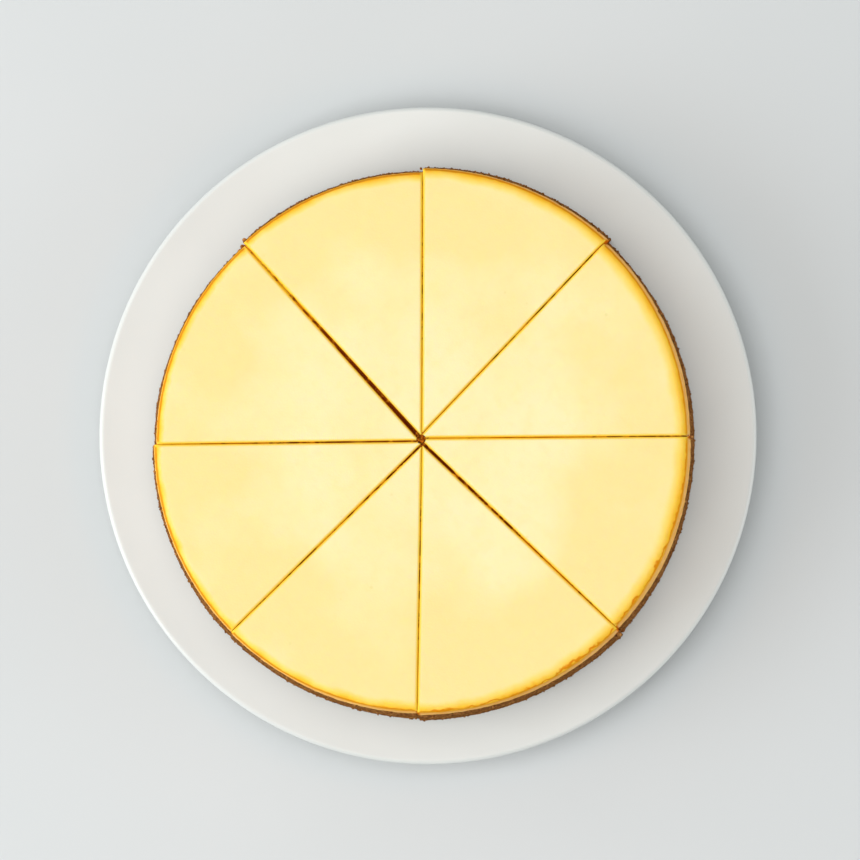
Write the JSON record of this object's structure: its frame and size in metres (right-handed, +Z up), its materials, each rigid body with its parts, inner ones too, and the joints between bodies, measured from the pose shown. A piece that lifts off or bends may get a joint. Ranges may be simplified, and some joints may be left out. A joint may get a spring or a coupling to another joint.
{
  "type": "cheesecake",
  "caption": "Round baked cheesecake with a smooth pale top and a brown crumb crust, cut into wedges that still stand together on a plain white plate.",
  "frame": {"origin": "centre of the plate's foot, on the surface that it stands on", "axes": "+Z up, through the cake's height; +X and +Y lie in the plate's plane, with one cut running close to +X and one close to +Y"},
  "size_m": [0.278, 0.278, 0.0625],
  "materials": {
    "filling": "smooth baked cream cheese filling, satin, golden towards the edge",
    "crust": "pressed biscuit crumb, dry and rough",
    "plate": "plain white glaze, glossy"
  },
  "bodies": {
    "root": {"plate": "plate", "crust_1": "crust", "crust_2": "crust", "crust_3": "crust", "crust_4": "crust", "crust_5": "crust", "crust_6": "crust", "crust_7": "crust", "crust_8": "crust", "filling_1": "filling", "filling_2": "filling", "filling_3": "filling", "filling_4": "filling", "filling_5": "filling", "filling_6": "filling", "filling_7": "filling", "filling_8": "filling"}
  },
  "joints": []
}
